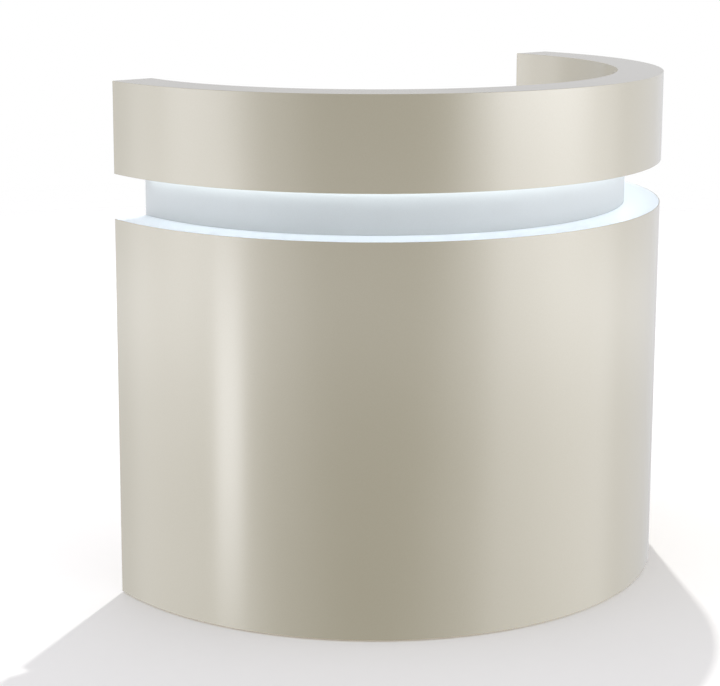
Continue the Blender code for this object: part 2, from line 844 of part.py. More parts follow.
def cam_lock(looks, lock_place, drawer_axis):
    """The barrel with its cam in the drawer front, and the strike plate that the cam catches."""
    face = lock_place + Vector((0, FRONT_THICKNESS + LOCK_PROUD, 0))
    barrel = cylinder("lock_barrel", LOCK_RADIUS, lock_place, face, looks["steel"])
    neck_end = lock_place - Vector((0, 0.010, 0))
    inside_barrel = lock_place + Vector((0, 0.002, 0))
    cam_low = lock_place + Vector((-0.004, -0.010, -0.004))
    cam_high = lock_place + Vector((0.018, -0.0065, 0.004))
    join(
        barrel,
        cylinder("lock_neck", 0.0035, neck_end + Vector((0, 0.001, 0)), inside_barrel, None, 16),
        box("lock_cam", cam_low, cam_high, None),
    )
    key = Vector((0.0007, 0.004, 0.0042))
    cut(barrel, box("key_slot", face - key, face + key, None))
    lock_axis = move_with("lock_axis", lock_place, [barrel])
    lock_axis.parent = drawer_axis
    lock_axis.location = lock_axis.location - drawer_axis.location

    underside = WORKTOP_TOP - WORKTOP_THICKNESS - GAP
    left, right = lock_place.x - STRIKE_HALF, lock_place.x + STRIKE_HALF
    plate_y = lock_place.y - 0.0025
    strike = box(
        "lock_strike",
        (left, plate_y - STRIKE_PLATE, LOCK_HEIGHT + 0.0085),
        (right, plate_y, underside),
        looks["steel"],
    )
    flange_low = (left, lock_place.y - 0.032, underside - STRIKE_PLATE)
    flange_high = (right, plate_y - 0.0005, underside)
    join(strike, box("strike_flange", flange_low, flange_high, None))


def cupboard_door(looks):
    """The cupboard door on a piano hinge at the pedestal's outer side."""
    front_y = PEDESTAL_FRONT + GAP
    door_high = DIVIDER_BOTTOM + PEDESTAL_BOARD + 0.0013 - FRONT_GAP
    door = box(
        "cupboard_door",
        (PEDESTAL_LEFT + GAP, front_y, PEDESTAL_BOTTOM + GAP),
        (PEDESTAL_RIGHT - GAP, front_y + FRONT_THICKNESS, door_high),
        looks["laminate"],
    )
    grip = Vector((PEDESTAL_LEFT + 0.036, front_y + FRONT_THICKNESS + GAP, door_high - 0.110))
    handle = bow_handle("door_handle", grip, True, looks["steel"])

    third = (HINGE_HIGH - HINGE_LOW) / 3
    stops = [HINGE_LOW + third * i for i in range(4)]
    leaf_x = PEDESTAL_RIGHT + GAP
    clear = HINGE_RADIUS + GAP
    fixed = box(
        "hinge_fixed_leaf",
        (leaf_x, HINGE_AXIS.y - 0.020, HINGE_LOW),
        (leaf_x + HINGE_LEAF, HINGE_AXIS.y - clear, HINGE_HIGH),
        looks["steel"],
    )
    moving = box(
        "hinge_moving_leaf",
        (leaf_x, HINGE_AXIS.y + clear, HINGE_LOW),
        (leaf_x + HINGE_LEAF, HINGE_AXIS.y + 0.0175, HINGE_HIGH),
        looks["steel"],
    )
    for i, (leaf, side) in enumerate(((fixed, -1), (moving, 1), (fixed, -1))):
        low, high = stops[i] + GAP, stops[i + 1] - GAP
        reach = sorted((HINGE_AXIS.y, HINGE_AXIS.y + side * (clear + 0.001)))
        tab = box(f"hinge_tab_{i}", (leaf_x, reach[0], low), (leaf_x + HINGE_LEAF, reach[1], high), None)
        low_end = Vector((*HINGE_AXIS, low))
        high_end = Vector((*HINGE_AXIS, high))
        join(leaf, tab, cylinder(f"hinge_knuckle_{i}", HINGE_RADIUS, low_end, high_end, None, 16))
    below = Vector((*HINGE_AXIS, HINGE_LOW - 0.01))
    above = Vector((*HINGE_AXIS, HINGE_HIGH + 0.01))
    bore = cylinder("hinge_bore", HINGE_BORE_RADIUS, below, above, None, 16)
    cut(fixed, bore)
    cut(moving, bore)
    pin_low = below + Vector((0, 0, 0.0085))
    pin_high = above - Vector((0, 0, 0.0085))
    cylinder("hinge_pin", HINGE_PIN_RADIUS, pin_low, pin_high, looks["steel"], 12)
    move_with("door_axis", (*HINGE_AXIS, (HINGE_LOW + HINGE_HIGH) / 2), [door, handle, moving])


def main():
    clear_scene()
    looks = finishes()
    lower_wall(looks)
    upper_ring(looks)
    recess_light(looks)
    driver_box(looks)
    worktop(looks)
    pedestal(looks)
    drawer(looks)
    cupboard_door(looks)


main()
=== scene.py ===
import json
import math

import bpy
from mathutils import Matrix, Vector


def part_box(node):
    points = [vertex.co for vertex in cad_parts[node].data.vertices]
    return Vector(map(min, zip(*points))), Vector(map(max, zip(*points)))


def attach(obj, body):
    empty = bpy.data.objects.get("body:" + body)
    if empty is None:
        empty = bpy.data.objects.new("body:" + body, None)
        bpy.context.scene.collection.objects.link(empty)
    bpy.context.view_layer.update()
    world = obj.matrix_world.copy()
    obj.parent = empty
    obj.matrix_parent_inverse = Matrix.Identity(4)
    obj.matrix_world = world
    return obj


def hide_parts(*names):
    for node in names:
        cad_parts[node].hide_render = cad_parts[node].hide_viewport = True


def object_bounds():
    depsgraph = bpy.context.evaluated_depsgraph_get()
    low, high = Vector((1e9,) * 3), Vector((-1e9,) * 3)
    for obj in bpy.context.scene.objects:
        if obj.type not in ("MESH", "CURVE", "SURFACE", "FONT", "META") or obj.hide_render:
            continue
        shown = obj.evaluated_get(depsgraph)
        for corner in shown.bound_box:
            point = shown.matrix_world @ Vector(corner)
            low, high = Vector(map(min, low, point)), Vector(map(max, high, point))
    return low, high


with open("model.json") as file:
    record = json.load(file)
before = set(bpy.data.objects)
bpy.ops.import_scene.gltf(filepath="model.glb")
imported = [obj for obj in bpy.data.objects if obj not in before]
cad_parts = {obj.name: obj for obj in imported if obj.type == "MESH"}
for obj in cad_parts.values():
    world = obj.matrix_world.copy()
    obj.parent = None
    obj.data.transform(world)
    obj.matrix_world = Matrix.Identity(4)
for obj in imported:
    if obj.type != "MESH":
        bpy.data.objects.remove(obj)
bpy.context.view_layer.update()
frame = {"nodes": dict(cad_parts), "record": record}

scene = bpy.context.scene
scene.view_settings.view_transform = "Standard"
print("frame loaded:", len(frame["nodes"]), "nodes")

# sizes that several pieces share, in metres; the rest is read from the frame
skinThickness = 0.008  # the bent skins of the lower wall and the ring
boardThickness = 0.018  # the structural board behind them
gap = 0.0003  # left between two parts that meet
hairline = 0.0001  # left between a small fitting and what it sits on
mergeDistance = 0.00001
low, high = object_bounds()
wallLow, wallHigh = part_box("front_skin")
innerLow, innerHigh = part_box("inner_skin")
linerLow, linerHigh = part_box("recess_liner")
ledgeLow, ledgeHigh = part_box("ledge_cap")
ringLow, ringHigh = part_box("ring_outer_skin")
pedestalLow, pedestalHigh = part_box("pedestal_left_side")[0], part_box("pedestal_right_side")[1]
outerRadius = (high.x - low.x) / 2
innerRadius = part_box("ring_inner_skin")[1].x - skinThickness
arcCentre = Vector((0.0, low.y + outerRadius, 0.0))
rearPlane = high.y
linerBack = innerRadius + boardThickness + gap
leadAngle = 174.375  # where the light's lead comes up, in degrees round the bend
lightGroove = {"inner": linerHigh.x + 0.0025, "width": 0.018, "depth": 0.010}
cameraSide = 40.02  # degrees that the camera stands round from the front, towards -X


def deselectAll():
    if bpy.context.mode != "OBJECT":
        bpy.ops.object.mode_set(mode="OBJECT")
    bpy.ops.object.select_all(action="DESELECT")


def makeActive(piece):
    deselectAll()
    piece.select_set(True)
    bpy.context.view_layer.objects.active = piece


def editAll(piece):
    makeActive(piece)
    bpy.ops.object.mode_set(mode="EDIT")
    bpy.ops.mesh.select_all(action="SELECT")


def leaveEdit():
    bpy.ops.object.mode_set(mode="OBJECT")


def mergeDoubles():
    bpy.ops.mesh.select_all(action="SELECT")
    bpy.ops.mesh.remove_doubles(threshold=mergeDistance)


def faceOutwards():
    bpy.ops.mesh.select_all(action="SELECT")
    bpy.ops.mesh.normals_make_consistent(inside=False)


def sawFlat(endPlane):
    # all that is selected past the plane is sawn off, and the cut closed
    bpy.ops.mesh.bisect(
        plane_co=(0, endPlane, 0),
        plane_no=(0, 1, 0),
        use_fill=True,
        clear_outer=True,
        threshold=mergeDistance,
    )


def applyModifiers(piece):
    makeActive(piece)
    for modifier in list(piece.modifiers):
        bpy.ops.object.modifier_apply(modifier=modifier.name)


def bevelEdges(piece, width, segments=2):
    # a small round on every hard edge, with the flats kept flat in shading
    makeActive(piece)
    bpy.ops.object.shade_smooth()
    bevel = piece.modifiers.new("arris", "BEVEL")
    bevel.width = width
    bevel.segments = segments
    bevel.limit_method = "ANGLE"
    bevel.angle_limit = math.radians(35)
    flats = piece.modifiers.new("flats", "WEIGHTED_NORMAL")
    flats.weight = 80
    applyModifiers(piece)


def booleanCut(piece, *cutters):
    for cutter in cutters:
        cutting = piece.modifiers.new("cut", "BOOLEAN")
        cutting.operation = "DIFFERENCE"
        cutting.solver = "EXACT"
        cutting.object = cutter
        makeActive(piece)
        bpy.ops.object.modifier_apply(modifier=cutting.name)
        bpy.data.objects.remove(cutter, do_unlink=True)


def settle(piece):
    # the object goes to the origin and its place into the mesh
    makeActive(piece)
    bpy.ops.object.transform_apply(location=True, rotation=True, scale=True)


def addBox(name, lowCorner, highCorner):
    lowCorner, highCorner = Vector(lowCorner), Vector(highCorner)
    deselectAll()
    bpy.ops.mesh.primitive_cube_add(size=1, location=(lowCorner + highCorner) / 2)
    piece = bpy.context.object
    piece.name = name
    piece.scale = highCorner - lowCorner
    settle(piece)
    return piece


def addRod(name, radius, start, end, sides=32):
    start, end = Vector(start), Vector(end)
    deselectAll()
    bpy.ops.mesh.primitive_cylinder_add(
        vertices=sides, radius=radius, depth=(end - start).length, location=(start + end) / 2
    )
    piece = bpy.context.object
    piece.name = name
    piece.rotation_mode = "QUATERNION"
    piece.rotation_quaternion = (end - start).to_track_quat("Z", "Y")
    settle(piece)
    return piece


def polar(radius, degrees, height=0.0):
    # 0 degrees is towards +X, 90 the middle of the customer side
    angle = math.radians(degrees)
    return arcCentre + Vector((radius * math.cos(angle), -radius * math.sin(angle), height))


def boxMiddle(nodeName):
    lowCorner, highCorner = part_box(nodeName)
    return (lowCorner + highCorner) / 2


def addOutline(name, points, fill):
    # a closed outline through the points, as a face or as edges only
    deselectAll()
    bpy.ops.mesh.primitive_circle_add(vertices=len(points), radius=1, fill_type=fill)
    piece = bpy.context.object
    piece.name = name
    for vert, point in zip(piece.data.vertices, points):
        vert.co = point
    return piece


def bentBoard(name, section, endPlane=None, firstAngle=-12, lastAngle=192):
    # an upright (radius, height) outline is spun round the bend's centre, a degree at a time;
    # where an end plane is given, both ends are sawn off flat
    points = [polar(radius, firstAngle, height) for radius, height in section]
    piece = addOutline(name, points, "NGON")
    editAll(piece)
    turn = lastAngle - firstAngle
    bpy.ops.mesh.spin(steps=turn, angle=math.radians(turn), center=arcCentre, axis=(0, 0, 1))
    mergeDoubles()
    if endPlane is not None:
        bpy.ops.mesh.select_all(action="SELECT")
        sawFlat(endPlane)
    faceOutwards()
    leaveEdit()
    return piece


def bandSection(inner, outer, bottom, top):
    return [(inner, bottom), (outer, bottom), (outer, top), (inner, top)]


def turnedPiece(name, section, middle, steps):
    # an upright (radius, height) outline is turned about the upright line through the middle
    points = [(middle.x + radius, middle.y, height) for radius, height in section]
    piece = addOutline(name, points, "NOTHING")
    editAll(piece)
    bpy.ops.mesh.spin(steps=steps, angle=math.tau, center=(middle.x, middle.y, 0), axis=(0, 0, 1))
    mergeDoubles()
    bpy.ops.mesh.dissolve_degenerate(threshold=mergeDistance)
    bpy.ops.mesh.select_all(action="SELECT")
    bpy.ops.mesh.delete_loose()
    faceOutwards()
    leaveEdit()
    return piece


def copyPiece(source, name):
    piece = source.copy()
    piece.data = source.data.copy()
    piece.name = name
    scene.collection.objects.link(piece)
    return piece


def copyOf(nodeName):
    # a merged copy of a CAD node, with its flat triangles joined into whole faces
    words = nodeName.split("_")
    piece = copyPiece(frame["nodes"][nodeName], words[0] + "".join(map(str.capitalize, words[1:])))
    for key in list(piece.keys()):
        del piece[key]
    piece.parent = None
    piece.hide_render = False
    piece.hide_viewport = False
    editAll(piece)
    mergeDoubles()
    bpy.ops.mesh.dissolve_limited(angle_limit=math.radians(1))
    leaveEdit()
    return piece


def srgb(red, green, blue):
    # a colour given in screen values, from 0 to 255
    values = []
    for value in (red, green, blue):
        share = value / 255
        values.append(share / 12.92 if share <= 0.04045 else ((share + 0.055) / 1.055) ** 2.4)
    return (*values, 1.0)


def newPatternGroup(name, inputs):
    # every pattern takes two colours and puts out a colour, a mask and a height
    group = bpy.data.node_groups.new(name, "ShaderNodeTree")
    colours = [
        ("Dark", "NodeSocketColor", (0.4, 0.4, 0.4, 1)),
        ("Light", "NodeSocketColor", (0.5, 0.5, 0.5, 1)),
    ]
    for label, kind, value in colours + inputs:
        socket = group.interface.new_socket(name=label, in_out="INPUT", socket_type=kind)
        socket.default_value = value
    for label, kind in (("Color", "Color"), ("Mask", "Float"), ("Height", "Float")):
        group.interface.new_socket(name=label, in_out="OUTPUT", socket_type="NodeSocket" + kind)
    return group, group.nodes.new("NodeGroupInput")


def newNoise(group, where, detail):
    noise = group.nodes.new("ShaderNodeTexNoise")
    noise.inputs["Detail"].default_value = detail
    group.links.new(where, noise.inputs["Vector"])
    return noise


def mixColours(group, entry, broad, fine, contrast):
    # the two noises blend into a mask, which mixes the two colours
    nodes, links = group.nodes, group.links
    blend = nodes.new("ShaderNodeMix")
    links.new(entry.outputs["Fine Share"], blend.inputs["Factor"])
    links.new(broad.outputs["Fac"], blend.inputs["A"])
    links.new(fine.outputs["Fac"], blend.inputs["B"])
    spread = nodes.new("ShaderNodeMapRange")
    spread.inputs["From Min"].default_value = contrast
    spread.inputs["From Max"].default_value = 1 - contrast
    links.new(blend.outputs["Result"], spread.inputs["Value"])
    tint = nodes.new("ShaderNodeMix")
    tint.data_type = "RGBA"
    links.new(spread.outputs["Result"], tint.inputs["Factor"])
    links.new(entry.outputs["Dark"], tint.inputs["A"])
    links.new(entry.outputs["Light"], tint.inputs["B"])
    leave = nodes.new("NodeGroupOutput")
    links.new(tint.outputs["Result"], leave.inputs["Color"])
    links.new(spread.outputs["Result"], leave.inputs["Mask"])
    links.new(fine.outputs["Fac"], leave.inputs["Height"])


def makeMottleGroup():
    # broad tone changes and a fine speckle, as in sprayed paint, board and moulded plastic
    group, entry = newPatternGroup(
        "mottle",
        [
            ("Broad Scale", "NodeSocketFloat", 2.0),
            ("Fine Scale", "NodeSocketFloat", 900.0),
            ("Fine Share", "NodeSocketFloat", 0.3),
        ],
    )
    where = group.nodes.new("ShaderNodeTexCoord").outputs["Object"]
    broad = newNoise(group, where, detail=3)
    fine = newNoise(group, where, detail=2)
    group.links.new(entry.outputs["Broad Scale"], broad.inputs["Scale"])
    group.links.new(entry.outputs["Fine Scale"], fine.inputs["Scale"])
    mixColours(group, entry, broad, fine, contrast=0.32)
    return group


def makeGrainGroup():
    # long streaks along one direction, for timber, laminate and brushed metal
    group, entry = newPatternGroup(
        "longGrain",
        [
            ("Stretch", "NodeSocketVector", (40, 40, 2)),
            ("Waviness", "NodeSocketFloat", 0.5),
            ("Fine Share", "NodeSocketFloat", 0.5),
        ],
    )
    where = group.nodes.new("ShaderNodeTexCoord")
    stretched = group.nodes.new("ShaderNodeVectorMath")
    stretched.operation = "MULTIPLY"
    group.links.new(where.outputs["Object"], stretched.inputs[0])
    group.links.new(entry.outputs["Stretch"], stretched.inputs[1])
    broad = newNoise(group, stretched.outputs["Vector"], detail=4)
    broad.inputs["Scale"].default_value = 1.0
    group.links.new(entry.outputs["Waviness"], broad.inputs["Distortion"])
    fine = newNoise(group, stretched.outputs["Vector"], detail=3)
    fine.inputs["Scale"].default_value = 7.0
    mixColours(group, entry, broad, fine, contrast=0.3)
    return group


mottle = makeMottleGroup()
longGrain = makeGrainGroup()


# what a finish's values set, in its pattern group and on its surface
patternInputs = {
    "dark": "Dark",
    "light": "Light",
    "broadScale": "Broad Scale",
    "fineScale": "Fine Scale",
    "stretch": "Stretch",
    "waviness": "Waviness",
    "fineShare": "Fine Share",
}
surfaceInputs = {
    "metallic": "Metallic",
    "coat": "Coat Weight",
    "coatRoughness": "Coat Roughness",
    "coatIor": "Coat IOR",
    "specular": "Specular IOR Level",
    "glow": "Emission Color",
    "glowStrength": "Emission Strength",
}


def newFinish(name, group, look):
    # one Principled surface with its colour, roughness and bump from a shared group
    finish = bpy.data.materials.new(name)
    finish.use_nodes = True
    nodes, links = finish.node_tree.nodes, finish.node_tree.links
    shader = nodes["Principled BSDF"]
    pattern = nodes.new("ShaderNodeGroup")
    pattern.node_tree = group
    for key, value in look.items():
        if key in patternInputs:
            pattern.inputs[patternInputs[key]].default_value = value
        if key in surfaceInputs:
            shader.inputs[surfaceInputs[key]].default_value = value
    links.new(pattern.outputs["Color"], shader.inputs["Base Color"])
    rough = nodes.new("ShaderNodeMapRange")
    rough.inputs["To Min"].default_value = look["roughness"][0]
    rough.inputs["To Max"].default_value = look["roughness"][1]
    links.new(pattern.outputs["Mask"], rough.inputs["Value"])
    links.new(rough.outputs["Result"], shader.inputs["Roughness"])
    bump = nodes.new("ShaderNodeBump")
    bump.inputs["Strength"].default_value = look["bump"]
    bump.inputs["Distance"].default_value = look.get("bumpDepth", 0.0002)
    links.new(pattern.outputs["Height"], bump.inputs["Height"])
    links.new(bump.outputs["Normal"], shader.inputs["Normal"])
    return finish


def makeLacquer():
    lacquer = {
        "dark": srgb(152, 144, 117),
        "light": srgb(158, 150, 125),
        "broadScale": 1.6,
        "fineScale": 380.0,  # its slight orange peel
        "fineShare": 0.35,
        "roughness": (0.29, 0.33),
        "bump": 0.04,
        "metallic": 0.08,
        "coat": 1.0,
        "coatRoughness": 0.17,
        "coatIor": 2.0,
        "specular": 0.8,
    }
    return newFinish("champagneLacquer", mottle, lacquer)


def makeSatinPaint(name, dark, light):
    paint = {
        "dark": dark,
        "light": light,
        "broadScale": 3.0,
        "fineScale": 500.0,
        "fineShare": 0.5,
        "roughness": (0.38, 0.44),
        "bump": 0.03,
    }
    return newFinish(name, mottle, paint)


def makeLaminate(name, stretch):
    laminate = {
        "dark": srgb(174, 167, 151),
        "light": srgb(196, 190, 175),
        "stretch": stretch,
        "waviness": 0.4,
        "fineShare": 0.5,
        "roughness": (0.42, 0.52),
        "bump": 0.12,
        "bumpDepth": 0.0001,
    }
    return newFinish(name, longGrain, laminate)


def makeRawBoard():
    board = {
        "dark": srgb(150, 117, 80),
        "light": srgb(184, 152, 112),
        "broadScale": 60.0,
        "fineScale": 1500.0,
        "fineShare": 0.6,
        "roughness": (0.75, 0.85),
        "bump": 0.3,
    }
    return newFinish("rawBoard", mottle, board)


def makeTimber():
    timber = {
        "dark": srgb(176, 137, 88),
        "light": srgb(218, 187, 138),
        "stretch": (70, 70, 3),
        "waviness": 1.2,
        "fineShare": 0.35,
        "roughness": (0.6, 0.72),
        "bump": 0.25,
    }
    return newFinish("planedSoftwood", longGrain, timber)


def makeDrawerBoard():
    foil = {
        "dark": srgb(204, 201, 193),
        "light": srgb(216, 214, 207),
        "broadScale": 8.0,
        "fineScale": 700.0,
        "fineShare": 0.5,
        "roughness": (0.45, 0.55),
        "bump": 0.08,
    }
    return newFinish("drawerFoil", mottle, foil)


def makeBrushed(name, dark, light, stretch, roughness):
    metal = {
        "dark": dark,
        "light": light,
        "stretch": stretch,
        "waviness": 0.0,
        "fineShare": 0.6,
        "roughness": roughness,
        "bump": 0.15,
        "bumpDepth": 0.00005,
        "metallic": 1.0,
    }
    return newFinish(name, longGrain, metal)


def makePlastic(name, dark, light):
    plastic = {
        "dark": dark,
        "light": light,
        "broadScale": 20.0,
        "fineScale": 2200.0,
        "fineShare": 0.7,
        "roughness": (0.42, 0.54),
        "bump": 0.25,
        "bumpDepth": 0.0001,
    }
    return newFinish(name, mottle, plastic)


def makeOpal():
    # the lit cover of the light channel
    opal = {
        "dark": srgb(240, 246, 250),
        "light": srgb(250, 252, 254),
        "broadScale": 40.0,
        "fineScale": 1600.0,
        "fineShare": 0.5,
        "roughness": (0.38, 0.46),
        "bump": 0.05,
        "glow": srgb(245, 251, 252),
        "glowStrength": 5.0,
    }
    return newFinish("opalDiffuser", mottle, opal)


finishes = {
    "lacquer": makeLacquer(),
    "white_lacquer": makeSatinPaint("whiteLacquer", srgb(234, 240, 244), srgb(238, 244, 248)),
    "liner_grey": makeSatinPaint("linerGrey", srgb(186, 189, 188), srgb(192, 195, 194)),
    "laminate": makeLaminate("paleLaminate", (110, 110, 5)),
    "board": makeRawBoard(),
    "softwood": makeTimber(),
    "drawer_board": makeDrawerBoard(),
    "aluminium": makeBrushed(
        "satinAluminium", srgb(176, 178, 181), srgb(206, 208, 210), (300, 300, 300), (0.32, 0.42)
    ),
    "steel": makeBrushed(
        "brushedSteel", srgb(150, 152, 155), srgb(190, 192, 195), (30, 900, 900), (0.24, 0.36)
    ),
    "led_strip": makePlastic("stripFoil", srgb(226, 222, 198), srgb(244, 241, 222)),
    "diffuser": makeOpal(),
    "lead": makePlastic("leadSheath", srgb(214, 214, 210), srgb(230, 230, 226)),
    "black_plastic": makePlastic("blackPlastic", srgb(28, 29, 31), srgb(42, 43, 45)),
    "grey_plastic": makePlastic("greyPlastic", srgb(112, 114, 117), srgb(132, 134, 136)),
}
levelLaminate = makeLaminate("paleLaminateLevel", (5, 110, 110))  # its grain runs along level boards
print("finishes made:", len(finishes))

# every CAD node that stays in view takes the finish of its slot
slotOf = {row["node"]: row["material_slot"] for row in frame["record"]["subparts"]}
bodyOf = {}
for bodyName, members in frame["record"]["behaviour"]["bodies"].items():
    for member in members:
        bodyOf[member] = bodyName
for nodeName, node in frame["nodes"].items():
    node.data.materials.clear()
    node.data.materials.append(finishes[slotOf[nodeName]])


def place(piece, body, slotName, *nodes):
    settle(piece)
    piece.data.materials.clear()
    piece.data.materials.append(finishes[slotName])
    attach(piece, body)
    if nodes:
        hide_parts(*nodes)


def dress(piece, *nodes):
    # the piece takes the place, body and finish of the CAD nodes that it stands for
    place(piece, bodyOf[nodes[0]], slotOf[nodes[0]], *nodes)


def makeLowerWall():
    skin = {"lip": 0.0015, "arris": 0.0007}
    lipInner = outerRadius - skin["lip"]
    skinInner = outerRadius - skinThickness
    seat = ledgeLow.z - gap
    frontSkin = bentBoard(
        "frontSkin",
        [
            (skinInner, wallLow.z),
            (outerRadius, wallLow.z),
            (outerRadius, wallHigh.z),
            (lipInner, wallHigh.z),
            (lipInner, seat),
            (skinInner, seat),
        ],
        rearPlane,
    )
    bevelEdges(frontSkin, skin["arris"])
    dress(frontSkin, "front_skin")

    ledgeSection = bandSection(linerBack, lipInner - gap, ledgeLow.z, ledgeHigh.z)
    ledge = bentBoard("ledgeCap", ledgeSection, rearPlane)
    bevelEdges(ledge, width=0.0003)
    dress(ledge, "ledge_cap")

    boardSection = bandSection(innerRadius, innerRadius + boardThickness, innerLow.z, innerHigh.z)
    innerSkin = bentBoard("innerSkin", boardSection, rearPlane)
    bevelEdges(innerSkin, width=0.0005)
    booleanCut(innerSkin, *leadCutters())
    dress(innerSkin, "inner_skin")
    for nodeName in ("left_end_cap", "right_end_cap"):
        cap = copyOf(nodeName)
        bevelEdges(cap, width=0.0005)
        dress(cap, nodeName)
    print("lower wall made")


def leadCutters():
    # the light's lead comes through a hole into a pocket, and runs up a groove
    # depths are measured from the staff side
    lead = {
        "width": 0.0052,
        "groove": {"depth": 0.0125, "bottom": 0.694, "top": 0.930},
        "pocket": {"depth": 0.0055, "bottom": 0.6872, "top": 0.703},
        "hole": {"radius": 0.0027, "height": 0.690, "from": -0.010, "to": 0.0105},
        "past": 0.030,
    }
    half = lead["width"] / 2
    cutters = []
    for name in ("groove", "pocket"):
        cut = lead[name]
        near, far = innerRadius + cut["depth"], innerRadius + lead["past"]
        cutter = addBox(name, (near, -half, cut["bottom"]), (far, half, cut["top"]))
        cutter.rotation_euler.z = -math.radians(leadAngle)
        cutter.location = arcCentre
        settle(cutter)
        cutters.append(cutter)
    hole = lead["hole"]
    start = polar(innerRadius + hole["from"], leadAngle, hole["height"])
    end = polar(innerRadius + hole["to"], leadAngle, hole["height"])
    cutters.append(addRod("hole", hole["radius"], start, end, 24))
    return cutters


def makeRecess():
    linerSection = bandSection(linerBack, linerHigh.x, linerLow.z, linerHigh.z)
    liner = bentBoard("recessLiner", linerSection, rearPlane)
    bevelEdges(liner, width=0.0004)
    dress(liner, "recess_liner")
    print("recess made")


def makeRing():
    ring = {"arris": 0.0010, "topBoard": 0.018}
    bottom, top = ringLow.z, ringHigh.z
    under = top - ring["topBoard"]
    shell = bentBoard(
        "ringShell",
        [
            (innerRadius, bottom),
            (innerRadius + skinThickness, bottom),
            (innerRadius + skinThickness, under),
            (outerRadius - skinThickness, under),
            (outerRadius - skinThickness, bottom),
            (outerRadius, bottom),
            (outerRadius, top),
            (innerRadius, top),
        ],
        rearPlane,
    )
    bevelEdges(shell, ring["arris"])
    dress(shell, "ring_outer_skin", "ring_inner_skin", "ring_top")
    for nodeName in ("ring_left_cap", "ring_right_cap"):
        cap = copyOf(nodeName)
        bevelEdges(cap, width=0.0004)
        dress(cap, nodeName)
    print("ring made")


def makeSoffit():
    # the ring's underside, grooved for the light, with two holes for the lead
    lead = {"risesAt": innerRadius + 0.0153, "holeRadius": 0.0025, "past": 0.004}
    soffitLow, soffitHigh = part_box("ring_soffit")
    inner, outer = innerRadius + skinThickness + gap, outerRadius - skinThickness - gap
    grooveInner = lightGroove["inner"]
    grooveOuter = grooveInner + lightGroove["width"]
    roof = soffitLow.z + lightGroove["depth"]
    soffit = bentBoard(
        "ringSoffit",
        [
            (inner, soffitLow.z),
            (grooveInner, soffitLow.z),
            (grooveInner, roof),
            (grooveOuter, roof),
            (grooveOuter, soffitLow.z),
            (outer, soffitLow.z),
            (outer, soffitHigh.z),
            (inner, soffitHigh.z),
        ],
        soffitHigh.y,
    )
    holes = []
    for radius in (lead["risesAt"], (grooveInner + grooveOuter) / 2):
        start = polar(radius, leadAngle, soffitLow.z - lead["past"])
        end = polar(radius, leadAngle, soffitHigh.z + lead["past"])
        holes.append(addRod("soffitHole", lead["holeRadius"], start, end, 24))
    bevelEdges(soffit, width=0.0004)
    booleanCut(soffit, *holes)
    dress(soffit, "ring_soffit")
    print("soffit made")


def makeLight():
    light = {"wall": 0.0012, "arris": 0.0002}
    channelLow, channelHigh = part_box("led_channel")
    inner = lightGroove["inner"] + gap
    outer = lightGroove["inner"] + lightGroove["width"] - gap
    wallInner, wallOuter = inner + light["wall"], outer - light["wall"]
    roof = channelHigh.z - light["wall"]
    channel = bentBoard(
        "lightChannel",
        [
            (inner, channelLow.z),
            (inner, channelHigh.z),
            (outer, channelHigh.z),
            (outer, channelLow.z),
            (wallOuter, channelLow.z),
            (wallOuter, roof),
            (wallInner, roof),
            (wallInner, channelLow.z),
        ],
        channelHigh.y,
    )
    bevelEdges(channel, light["arris"])
    dress(channel, "led_channel")

    coverLow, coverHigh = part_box("led_diffuser")
    coverSection = bandSection(wallInner + gap, wallOuter - gap, coverLow.z, coverHigh.z)
    cover = bentBoard("lightDiffuser", coverSection, coverHigh.y)
    bevelEdges(cover, light["arris"])
    dress(cover, "led_diffuser")
    print("light made")


def makeWorktop():
    top = {"arris": 0.0010, "grommetHole": 0.030, "cleatWidth": 0.018, "cleatFrom": 15, "cleatTo": 165}
    radius = innerRadius - gap
    boardLow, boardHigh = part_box("worktop")
    height = boardHigh.z - boardLow.z
    deselectAll()
    bpy.ops.mesh.primitive_cylinder_add(
        vertices=360,
        radius=radius,
        depth=height,
        location=arcCentre + Vector((0, 0, boardLow.z + height / 2)),
    )
    board = bpy.context.object
    board.name = "worktopBoard"
    settle(board)
    editAll(board)
    sawFlat(boardHigh.y)
    leaveEdit()
    bevelEdges(board, top["arris"])
    middle = boxMiddle("grommet_sleeve")
    start = (middle.x, middle.y, boardLow.z - 0.01)
    end = (middle.x, middle.y, boardHigh.z + 0.01)
    booleanCut(board, addRod("grommetHole", top["grommetHole"], start, end, 64))
    dress(board, "worktop")
    board.data.materials[0] = levelLaminate

    edging = {"thickness": 0.0012, "arris": 0.0005, "shortOfEnds": 0.001}
    reach = boardHigh.x - edging["shortOfEnds"]
    near = boardHigh.y + hairline
    strip = addBox(
        "worktopEdging",
        (-reach, near, boardLow.z + hairline),
        (reach, near + edging["thickness"], boardHigh.z - hairline),
    )
    bevelEdges(strip, width=edging["arris"])
    place(strip, "counter", "lacquer")

    cleatLow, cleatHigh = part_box("worktop_cleat")
    cleatSection = bandSection(radius - top["cleatWidth"], radius, cleatLow.z, cleatHigh.z)
    cleat = bentBoard("worktopCleat", cleatSection, None, top["cleatFrom"], top["cleatTo"])
    bevelEdges(cleat, width=0.0008)
    dress(cleat, "worktop_cleat")
    print("worktop made")


shelfPin = {"radius": 0.0025, "length": 0.0078, "rows": (0.030, 0.225)}


